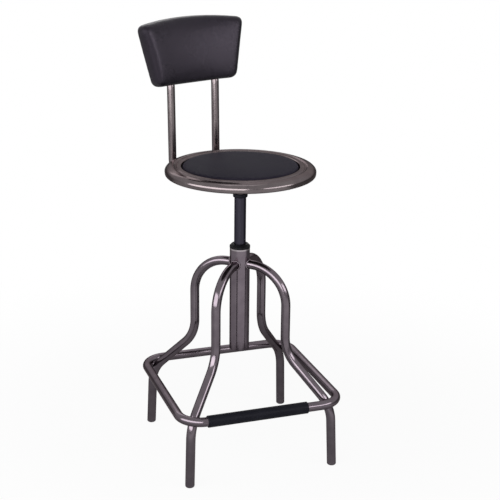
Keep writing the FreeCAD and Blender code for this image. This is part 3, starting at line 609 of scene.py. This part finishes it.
def seat_cushion(material):
    """Round seat cushion, crowned on top and flat where it lies in the pan."""
    low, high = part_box("seat_cover")
    radius = (high.x - low.x) / 2
    floor = low.z + SEAT_FLOOR_LIFT
    shoulder = high.z - SEAT_CROWN
    profile = [(0.0, floor), (radius, floor)]
    for degrees in QUARTER_ROUND_DEG:
        angle = math.radians(degrees)
        reach = radius - SEAT_EDGE_ROUND * (1 - math.cos(angle))
        profile.append((reach, shoulder - SEAT_EDGE_ROUND * (1 - math.sin(angle))))
    for share in (0.8, 0.6, 0.4, 0.2, 0.0):
        rise = (SEAT_CROWN - SEAT_TOP_SHRINK) * (1 - share ** 2)
        profile.append(((radius - SEAT_EDGE_ROUND) * share, shoulder + rise))
    points = []
    for reach, height in profile:
        for k in range(SEAT_AROUND):
            angle = 2 * math.pi * k / SEAT_AROUND
            points.append((reach * math.cos(angle), reach * math.sin(angle), height))
    mesh = mesh_from("seat_cushion", points, faces_between(len(profile), SEAT_AROUND))
    piece = new_piece("seat_cushion", mesh, material)
    waist = shoulder - 2 * SEAT_EDGE_ROUND

    def held(point):
        return 1.0 if point.z < waist else 0.0

    puff(piece, SEAT_VOXEL, SEAT_PUFF_CAP, held)
    cover(piece.data, material)
    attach(piece, "seat")
    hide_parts("seat_cover", "seat_foam")
    return piece


def on_back_curve(across, depth, height):
    """Point of the backrest in its upright frame: along the curve, behind mid thickness, and up."""
    angle = across / BACK_CURVE_RADIUS
    radius = BACK_CURVE_RADIUS + depth
    return Vector((radius * math.sin(angle), radius * math.cos(angle) - BACK_CURVE_RADIUS, height))


def back_section(place, roll_deg):
    """Points round one upright section of the backrest, from below its front edge up and round its rear.

    Place runs from -1 at the left side to 1 at the right, and the roll goes round that side's edge.
    """
    fall = 1 - math.cos(math.radians(roll_deg))
    swing = math.copysign(math.sin(math.radians(roll_deg)), place)
    edge = BACK_EDGE_ROUND - BACK_SHRINK
    corner = BACK_CORNER_ROUND - BACK_SHRINK
    half = BACK_THICK / 2 - BACK_SHRINK - edge * fall
    low = BACK_LOW + BACK_SHRINK + corner * fall
    foot_across = (BACK_BOTTOM_WIDTH / 2 - BACK_CORNER_ROUND) * place + corner * swing
    head_across = (BACK_TOP_WIDTH / 2 - BACK_CORNER_ROUND) * place + corner * swing
    arch = (BACK_CENTRE_HEIGHT - BACK_CORNER_HEIGHT) * (head_across / (BACK_TOP_WIDTH / 2)) ** 2
    high = BACK_CENTRE_HEIGHT - arch - BACK_SHRINK - corner * fall
    crown = BACK_CROWN * (1 - fall) * (1 - 0.5 * place ** 2)
    radius = max(edge * (1 - fall), BACK_LEAST_ROUND)
    front_foot = (-half + radius, low + radius, 270)
    front_head = (-half + radius, high - radius, 180)
    rear_head = (half - radius, high - radius, 90)
    rear_foot = (half - radius, low + radius, 0)
    outline = []
    for corner_round in (front_foot, front_head, rear_head, rear_foot):
        depth, height, first_deg = corner_round
        for degrees in QUARTER_ROUND_DEG:
            angle = math.radians(first_deg - degrees)
            outline.append((depth + radius * math.cos(angle), height + radius * math.sin(angle)))
        if corner_round is front_foot:
            for share in BACK_FRONT_SHARES:
                up_front = low + radius + (high - low - 2 * radius) * share
                outline.append((-half - crown * 4 * share * (1 - share), up_front))
    points = []
    for depth, height in outline:
        share = (height - BACK_LOW) / (BACK_CORNER_HEIGHT - BACK_LOW)
        points.append(on_back_curve(foot_across + (head_across - foot_across) * share, depth, height))
    return points


def back_sections():
    """Sections of the backrest from one rounded side to the other."""
    sections = [back_section(-1.0, roll) for roll in BACK_SIDE_ROLLS_DEG]
    half = BACK_HALF_SECTIONS
    sections += [back_section(k / half, 0) for k in range(-half, half + 1)]
    sections += [back_section(1.0, roll) for roll in reversed(BACK_SIDE_ROLLS_DEG)]
    return sections


def place_on_tubes(points):
    """Leans the backrest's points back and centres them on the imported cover."""
    low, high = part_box("back_cover")
    turn = Matrix.Rotation(-BACK_LEAN, 3, "X")
    leaned = [turn @ point for point in points]
    mid = [(min(p[k] for p in leaned) + max(p[k] for p in leaned)) / 2 for k in range(3)]
    shift = (low + high) / 2 - Vector(mid)
    return [point + shift for point in leaned]


def seam_line(sections):
    """Closed line of the rear seam, along the middle of the rear edge's upper and lower round."""
    quarter = len(QUARTER_ROUND_DEG)
    lower = len(sections[0]) - 1 - quarter // 2
    upper = lower - quarter
    inner = sections[BACK_UNSEAMED_SECTIONS:-BACK_UNSEAMED_SECTIONS]
    return [section[upper] for section in inner] + [section[lower] for section in reversed(inner)]


def back_cushion(material):
    """Backrest cushion round its tubes, with a swelling front and a sewn seam round its rear."""
    sections = back_sections()
    around = len(sections[0])
    points = place_on_tubes([point for section in sections for point in section])
    last = len(points) - around
    faces = faces_between(len(sections), around)
    faces.append(tuple(range(around)))
    faces.append(tuple(range(last, last + around)))
    mesh = mesh_from("back_cushion", points, faces)
    piece = new_piece("back_cushion", mesh, material)
    seam = seam_line([points[start:start + around] for start in range(0, len(points), around)])
    rear_normal = Matrix.Rotation(-BACK_LEAN, 3, "X") @ Vector((0, 1, 0))
    middle = sum(seam, Vector()) / len(seam)

    def held(point):
        return 1.0 if (point - middle).dot(rear_normal) > -BACK_HELD_DEPTH else 0.0

    puff(piece, BACK_VOXEL, BACK_PUFF_CAP, held)
    fill_cover(piece, "back_cover")
    cover(piece.data, material)
    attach(piece, "seat")
    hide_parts("back_cover", "back_foam")
    return piece, seam


def beads_tree(name, spacing, length, radius, material):
    """Geometry Nodes tree that strings flattened balls along a curve: weld ripples or stitches."""
    tree = bpy.data.node_groups.new(name, "GeometryNodeTree")
    tree.interface.new_socket("Geometry", in_out="INPUT", socket_type="NodeSocketGeometry")
    for key, value in (("Spacing", spacing), ("Length", length), ("Radius", radius)):
        tree.interface.new_socket(key, in_out="INPUT", socket_type="NodeSocketFloat").default_value = value
    tree.interface.new_socket("Geometry", in_out="OUTPUT", socket_type="NodeSocketGeometry")

    def outputs(kind, inputs=None, **settings):
        return add_node(tree, kind, settings, inputs or {}).outputs

    given = outputs("NodeGroupInput")
    line = outputs(
        "GeometryNodeResampleCurve", {"Curve": given["Geometry"], "Length": given["Spacing"]}, mode="LENGTH"
    )
    ball = outputs("GeometryNodeMeshUVSphere", {"Segments": 8, "Rings": 6, "Radius": 1.0})
    tangent = outputs("GeometryNodeInputTangent")
    turned = outputs("FunctionNodeAlignRotationToVector", {"Vector": tangent["Tangent"]}, axis="Z")
    half = outputs("ShaderNodeMath", {0: given["Length"], 1: 0.5}, operation="MULTIPLY")
    size = outputs("ShaderNodeCombineXYZ", {0: given["Radius"], 1: given["Radius"], 2: half[0]})
    balls = outputs(
        "GeometryNodeInstanceOnPoints",
        {"Points": line["Curve"], "Instance": ball["Mesh"], "Rotation": turned["Rotation"], "Scale": size[0]},
    )
    real = outputs("GeometryNodeRealizeInstances", {"Geometry": balls["Instances"]})
    smooth = outputs("GeometryNodeSetShadeSmooth", {"Geometry": real["Geometry"]})
    painted = outputs("GeometryNodeSetMaterial", {"Geometry": smooth["Geometry"], "Material": material})
    outputs("NodeGroupOutput", {"Geometry": painted["Geometry"]})
    return tree


def strung_piece(name, lines, tree, material):
    """A piece made by a tree along one or more closed lines, as a plain mesh."""
    curve = bpy.data.curves.new(name, "CURVE")
    curve.dimensions = "3D"
    for line in lines:
        spline = curve.splines.new("POLY")
        spline.points.add(len(line) - 1)
        for point, place in zip(spline.points, line):
            point.co = (*place, 1.0)
        spline.use_cyclic_u = True
    carrier = bpy.data.objects.new(name + "_line", curve)
    bpy.context.scene.collection.objects.link(carrier)
    carrier.modifiers.new("Beads", "NODES").node_group = tree
    mesh = plain_mesh(carrier)
    bpy.data.objects.remove(carrier)
    return new_piece(name, mesh, material)


def leg_weld_lines():
    """Lines where the leg tubes meet the round column."""
    lines = []
    for direction in LEG_DIRECTIONS_DEG:
        turn = Matrix.Rotation(math.radians(direction), 3, "Z")
        line = []
        for k in range(BEAD_LINE_POINTS):
            angle = 2 * math.pi * k / BEAD_LINE_POINTS
            side = LEG_TUBE_RADIUS * math.sin(angle)
            height = LEG_TOP_HEIGHT + LEG_TUBE_RADIUS * math.cos(angle)
            line.append(turn @ Vector((math.sqrt(COLUMN_RADIUS ** 2 - side ** 2) + BEAD_LIFT, side, height)))
        lines.append(line)
    return lines


def column_welds(material):
    """Rippled weld beads round the tops of the legs."""
    tree = beads_tree("weld_ripples", BEAD_SPACING, BEAD_LENGTH, BEAD_RADIUS, material)
    piece = strung_piece("column_weld_beads", leg_weld_lines(), tree, material)
    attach(piece, "base")
    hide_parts("leg_column_welds")


def rear_stitches(cushion, seam, material):
    """Stitches beside the backrest's rear seam, laid on the cushion."""
    mesh = cushion.data
    surface = BVHTree.FromPolygons(
        [vertex.co for vertex in mesh.vertices], [tuple(p.vertices) for p in mesh.polygons]
    )
    middle = sum(seam, Vector()) / len(seam)
    line = []
    for point in seam:
        inward = (middle - point).normalized() * STITCH_FROM_SEAM
        place, normal = surface.find_nearest(point + inward)[:2]
        line.append(place + normal * STITCH_LIFT)
    tree = beads_tree("seam_stitches", STITCH_SPACING, STITCH_LENGTH, STITCH_RADIUS, material)
    piece = strung_piece("back_seam_stitches", [line], tree, material)
    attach(piece, "seat")


def store_seam(cushion, seam):
    """Stores each point's distance from the seam on the cushion, for its groove."""
    mesh = cushion.data
    attribute = mesh.attributes.new(SEAM_GAP, "FLOAT", "POINT")
    runs = list(zip(seam[-1:] + seam[:-1], seam))
    for gap, vertex in zip(attribute.data, mesh.vertices):
        gap.value = min((closest_on_run(vertex.co, start, end) - vertex.co).length for start, end in runs)


def closest_on_run(point, start, end):
    """Closest point of a straight run."""
    run = end - start
    share = max(0.0, min(1.0, (point - start).dot(run) / run.length_squared))
    return start + run * share


def along(x, y, direction):
    """How far a place, or a direction's end, lies in a level direction."""
    return x * direction[0] + y * direction[1]


def pale_stage():
    """White floor that keeps the stool's soft shadow; in reflections it has a painted shadow round the stool, and is
    dimmer left and far off.
    """
    shader = Shader("stage_floor")
    camera, glossy = shader.rays("Camera", "Glossy")
    place = shader.place()
    reach = shader.node("ShaderNodeVectorMath", {"operation": "LENGTH"}, {0: place}, output="Value")
    shadow = shader.smooth_step(reach, *FLOOR_SHADOW_FADE, FLOOR_SHADOW_PALE, 1.0)
    x, y, z = shader.parts(place)
    left = shader.smooth_step(along(x, y, TOWARDS_RIGHT), *FLOOR_LEFT_FADE, FLOOR_LEFT_LIGHT, 1.0)
    far = shader.smooth_step(along(x, y, TOWARDS_CAMERA), *FAR_FADE, 0.0, 1.0)
    # Painted shadow of the stool on the paper, seen only in reflections
    painted_shadow_near_stool = shader.smooth_step(reach, *FLOOR_PAINTED_SHADOW_FADE, FLOOR_PAINTED_SHADOW_LIGHT, 1.0)
    sheet = FLOOR_FAR_LIGHT + (1.0 - FLOOR_FAR_LIGHT) * painted_shadow_near_stool * left * far
    paper = shader.node("ShaderNodeBsdfDiffuse", inputs={"Color": PAPER_WHITE})
    white = shader.node("ShaderNodeEmission", inputs={"Color": WHITE, "Strength": camera + glossy * sheet})
    seen = shader.math("MINIMUM", camera * shadow + glossy, 1.0)
    surface = shader.node("ShaderNodeMixShader", inputs={0: seen, 1: paper, 2: white})
    shader.node("ShaderNodeOutputMaterial", inputs={"Surface": surface})
    mesh = bpy.data.meshes.new("stage_floor")
    half = FLOOR_HALF_SIDE
    mesh.from_pydata([(-half, -half, 0), (half, -half, 0), (half, half, 0), (-half, half, 0)], [], [(0, 1, 2, 3)])
    mesh.materials.append(shader.material)
    floor = bpy.data.objects.new("stage_floor", mesh)
    floor.location.z = -FLOOR_DROP
    bpy.context.scene.collection.objects.link(floor)


def white_world():
    """White surroundings for the camera; as light and in reflections a pale room, darker towards its walls."""
    world = bpy.data.worlds.new("studio")
    bpy.context.scene.world = world
    shader = Shader("studio", world)
    camera, glossy, clear = shader.rays("Camera", "Glossy", "Transmission")
    x, y, height = shader.parts(shader.node("ShaderNodeTexCoord", output="Generated"))
    wall = shader.smooth_step(along(x, y, TOWARDS_CAMERA), *FAR_FADE, ROOM_FAR_WALL_LIGHT, ROOM_WALL_LIGHT)
    up = shader.smooth_step(height, *ROOM_HEIGHT_FADE, 0.0, 1.0)
    room = wall + up * (ROOM_TOP_LIGHT - wall)
    seen = shader.math("MINIMUM", camera + clear, 1.0)
    light = ROOM_LIGHT + glossy * (room - ROOM_LIGHT)
    strength = light + seen * (1.0 - light)
    background = shader.node("ShaderNodeBackground", inputs={"Color": WHITE, "Strength": strength})
    shader.node("ShaderNodeOutputWorld", inputs={"Surface": background})


def soft_box(name, place, target, width, height, brightness, cushions=(), spared=False):
    """Soft box that faces a point, 1 being white; given cushions, it lights only these, or all but these."""
    light = bpy.data.lights.new(name, "AREA")
    light.shape = "RECTANGLE"
    light.size = width
    light.size_y = height
    light.energy = brightness * math.pi * width * height
    lamp = bpy.data.objects.new(name, light)
    lamp.location = place
    lamp.rotation_mode = "QUATERNION"
    lamp.rotation_quaternion = (Vector(target) - Vector(place)).to_track_quat("-Z", "Y")
    lamp.visible_camera = False
    bpy.context.scene.collection.objects.link(lamp)
    if cushions:
        lit = bpy.data.collections.new(name + "_lights")
        for cushion in cushions:
            lit.objects.link(cushion)
        for member in lit.collection_objects:
            member.light_linking.link_state = "EXCLUDE" if spared else "INCLUDE"
        lamp.light_linking.receiver_collection = lit


def studio_lights(cushions):
    """Long low soft boxes left and right of the camera, a faint top one and a rear one; the left is dim on vinyl."""
    left = {"place": (-2.02, -0.53, 1.15), "target": (0, 0, 0.8), "width": 4.2, "height": 1.3}
    soft_box("left_box", **left, brightness=4.3, cushions=cushions, spared=True)
    soft_box("left_box_on_vinyl", **left, brightness=1.3, cushions=cushions)
    soft_box("right_box", place=(0.66, -2.02, 1.25), target=(0, 0, 0.9), width=1.8, height=0.70, brightness=4.0)
    soft_box("overhead_box", place=(0.3, 0.4, 2.9), target=(0, 0, 0.6), width=1.0, height=1.0, brightness=0.8)
    soft_box("rear_box", place=(0.9, 2.3, 2.1), target=(0, 0, 0.8), width=2.0, height=0.8, brightness=1.2)


def photo_camera():
    """Camera at the photograph's angle, with its slight roll."""
    azimuth = math.radians(CAMERA_AZIMUTH_DEG)
    pitch = math.radians(CAMERA_PITCH_DEG)
    roll = math.radians(CAMERA_ROLL_DEG)
    back = Vector((math.sin(azimuth) * math.cos(pitch), -math.cos(azimuth) * math.cos(pitch), math.sin(pitch)))
    right = Vector((math.cos(azimuth), math.sin(azimuth), 0))
    up = back.cross(right)
    rolled_right = right * math.cos(roll) + up * math.sin(roll)
    rolled_up = up * math.cos(roll) - right * math.sin(roll)
    turn = Matrix((rolled_right, rolled_up, back)).transposed().to_4x4()
    data = bpy.data.cameras.new("photo_camera")
    data.lens = CAMERA_LENS_MM
    data.sensor_width = CAMERA_SENSOR_MM
    data.clip_end = 60.0
    camera = bpy.data.objects.new("photo_camera", data)
    camera.matrix_world = Matrix.Translation(CAMERA_PLACE) @ turn
    bpy.context.scene.collection.objects.link(camera)
    bpy.context.scene.camera = camera


def dress_packed_pieces():
    """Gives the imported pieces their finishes, and returns the legs' coat for the weld beads."""
    coat = pewter_coat("pewter_coat", PEWTER, PEWTER_DARK, COAT_ROUGHNESS)
    paint(coat, "seat_pan", "seat_hub", "back_tube_left", "back_tube_right", "seat_mount_plate", "back_tube_straps")
    leg_coat = pewter_coat("pewter_coat_legs", LEG_PEWTER, LEG_PEWTER_DARK, LEG_COAT_ROUGHNESS, SCUFF_HEIGHT)
    paint(leg_coat, "leg_front_left", "leg_rear_left", "leg_rear_right", "leg_front_right", "leg_foot_caps")
    paint(leg_coat, "footrest_ring", "leg_ring_welds", "leg_column_welds")
    # The column's top band is painted lighter: bare metal and a painted highlight
    bare_and_highlight_above = COLUMN_TOP_HEIGHT - EDGE_BARE_AND_HIGHLIGHT_WIDTH
    column_coat = pewter_coat(
        "pewter_coat_column", COLUMN_PEWTER, COLUMN_PEWTER_DARK, COAT_ROUGHNESS, bare_and_highlight_above=bare_and_highlight_above
    )
    paint(column_coat, "column_tube")
    paint(post_paint(), "seat_post")
    paint(moulded_plastic(), "column_guide_bush", "post_guide_ring", "back_tube_plugs")
    paint(grip_rubber(), "footrest_sleeve", "post_collar")
    zinc = zinc_plate("zinc_plate")
    paint(zinc, "seat_bolts", "seat_bolt_washers", "strap_screws", "back_screws", "seat_board_inserts")
    paint(zinc, "screw_base_washer", "screw_base_nut", "screw_stop_washer", "screw_stop_bolt", "column_foot_plate")
    paint(zinc_plate("threaded_zinc", THREAD_PITCH), "lift_screw", "lift_nut")
    paint(plywood(), "seat_board", "back_board")
    return leg_coat


bpy.context.scene.view_settings.view_transform = "Standard"
photo_camera()
column_welds(dress_packed_pieces())
# The seat gets the lighter, lit copy of the vinyl: painted sheen
seat_vinyl_lit_copy = vinyl("seat_vinyl_lit_copy", SEAT_VINYL_LIT_BLACK, SEAT_VINYL_LIT_WORN, SEAT_VINYL_GLOSS, SEAT_VINYL_ROUGHNESS)
cushion = seat_cushion(seat_vinyl_lit_copy)
# The backrest gets the darker, shaded copy of the vinyl: painted shade
back_vinyl_shaded_copy = vinyl("back_vinyl_shaded_copy", BACK_VINYL_SHADED_BLACK, BACK_VINYL_SHADED_WORN, BACK_VINYL_GLOSS, BACK_VINYL_ROUGHNESS, SEAM_GAP)
backrest, seam = back_cushion(back_vinyl_shaded_copy)
store_seam(backrest, seam)
rear_stitches(backrest, seam, dark_thread())
white_world()
studio_lights((cushion, backrest))
pale_stage()
